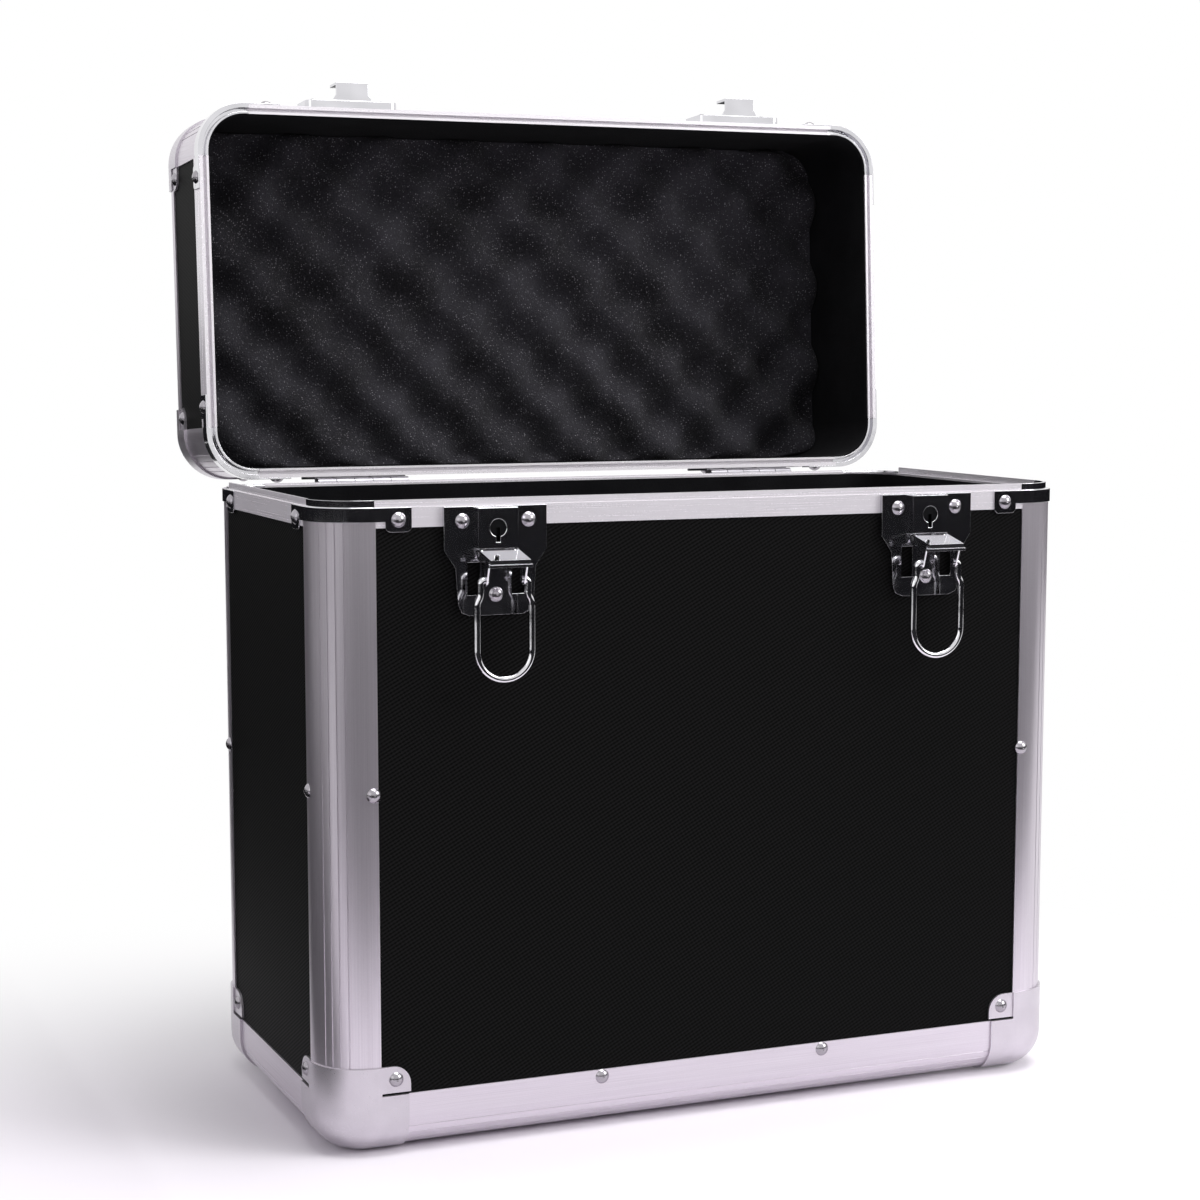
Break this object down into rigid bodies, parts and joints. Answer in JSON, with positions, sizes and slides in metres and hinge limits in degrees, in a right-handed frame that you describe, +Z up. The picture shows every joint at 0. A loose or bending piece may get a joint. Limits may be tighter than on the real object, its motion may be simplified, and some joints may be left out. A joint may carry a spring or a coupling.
{
  "type": "record carrying case",
  "caption": "Upright carrying case for vinyl records with laminated panels in ribbed aluminium edging, a deep foam-lined hinged lid, draw latches, steel corner caps and a folding handle.",
  "frame": {"origin": "middle of the footprint of the whole case with its lid standing open, at the ground", "axes": "+X to the right of someone facing the latches, +Y towards the hinges, +Z up"},
  "size_m": [0.3662, 0.2946, 0.4686],
  "materials": {
    "board": "fine twill grain",
    "liner": "matt",
    "profile": "drawn, fine lengthwise grain",
    "rim": "satin",
    "corner_steel": "smooth satin nickel",
    "chrome": "bright nickel",
    "pin_steel": "bright",
    "rivet": "bright",
    "foam": "open-cell foam",
    "grip": "moulded"
  },
  "bodies": {
    "case": {"panel_front": "board", "panel_back": "board", "panel_left": "board", "panel_right": "board", "panel_bottom": "board", "liner_body": "liner", "post_front_left": "profile", "post_front_right": "profile", "post_back_right": "profile", "post_back_left": "profile", "edge_front": "profile", "edge_right": "profile", "edge_back": "profile", "edge_left": "profile", "rim_front": "rim", "rim_right": "rim", "rim_back": "rim", "rim_left": "rim", "corner_caps": "corner_steel", "rim_corners": "chrome", "rivets_body": "rivet", "latch_plate_left": "chrome", "latch_plate_right": "chrome", "lock_box_left": "chrome", "lock_box_right": "chrome", "lever_pins": "pin_steel", "hinge_leaves_body": "chrome", "hinge_pins": "pin_steel"},
    "lid": {"lid_top": "board", "lid_front": "board", "lid_back": "board", "lid_left": "board", "lid_right": "board", "liner_lid": "liner", "lid_foam": "foam", "lid_posts": "profile", "lid_edge_front": "profile", "lid_edge_right": "profile", "lid_edge_back": "profile", "lid_edge_left": "profile", "lid_rim_front": "rim", "lid_rim_right": "rim", "lid_rim_back": "rim", "lid_rim_left": "rim", "lid_caps": "corner_steel", "lid_rim_corners": "chrome", "rivets_lid": "rivet", "catch_left": "chrome", "catch_right": "chrome", "hinge_leaves_lid": "chrome", "handle_brackets": "chrome"},
    "lever_left": {"lever_left": "chrome"},
    "lever_right": {"lever_right": "chrome"},
    "bail_left": {"bail_left": "chrome"},
    "bail_right": {"bail_right": "chrome"},
    "lock_left": {"lock_core_left": "pin_steel"},
    "lock_right": {"lock_core_right": "pin_steel"},
    "handle": {"handle": "grip"}
  },
  "joints": [
    {"name": "lid_hinge", "type": "hinge", "parent": "case", "child": "lid", "pos_m": [0, 0.05328, 0.2758], "axis": [1, 0, 0], "range_deg": [0, 93.2]},
    {"name": "lever_left_pivot", "type": "hinge", "parent": "case", "child": "lever_left", "pos_m": [-0.104, -0.13152, 0.256], "axis": [1, 0, 0], "range_deg": [0, 44]},
    {"name": "bail_left_pivot", "type": "hinge", "parent": "lever_left", "child": "bail_left", "pos_m": [-0.104, -0.13928, 0.2457], "axis": [-1, 0, 0], "range_deg": [0, 214.72]},
    {"name": "lock_left_turn", "type": "hinge", "parent": "case", "child": "lock_left", "pos_m": [-0.104, -0.12992, 0.267], "axis": [0, -1, 0], "range_deg": [0, 90]},
    {"name": "lever_right_pivot", "type": "hinge", "parent": "case", "child": "lever_right", "pos_m": [0.104, -0.13152, 0.256], "axis": [1, 0, 0], "range_deg": [0, 44]},
    {"name": "bail_right_pivot", "type": "hinge", "parent": "lever_right", "child": "bail_right", "pos_m": [0.104, -0.13928, 0.2457], "axis": [-1, 0, 0], "range_deg": [0, 214.72]},
    {"name": "lock_right_turn", "type": "hinge", "parent": "case", "child": "lock_right", "pos_m": [0.104, -0.12992, 0.267], "axis": [0, -1, 0], "range_deg": [0, 90]},
    {"name": "handle_fold", "type": "hinge", "parent": "lid", "child": "handle", "pos_m": [0, 0.1414, 0.36322], "axis": [1, 0, 0], "range_deg": [-3, 176]}
  ],
  "couplings": [
    {"joint": "bail_left_pivot", "follows": "lever_left_pivot", "ratio": 4.88},
    {"joint": "bail_right_pivot", "follows": "lever_right_pivot", "ratio": 4.88}
  ]
}
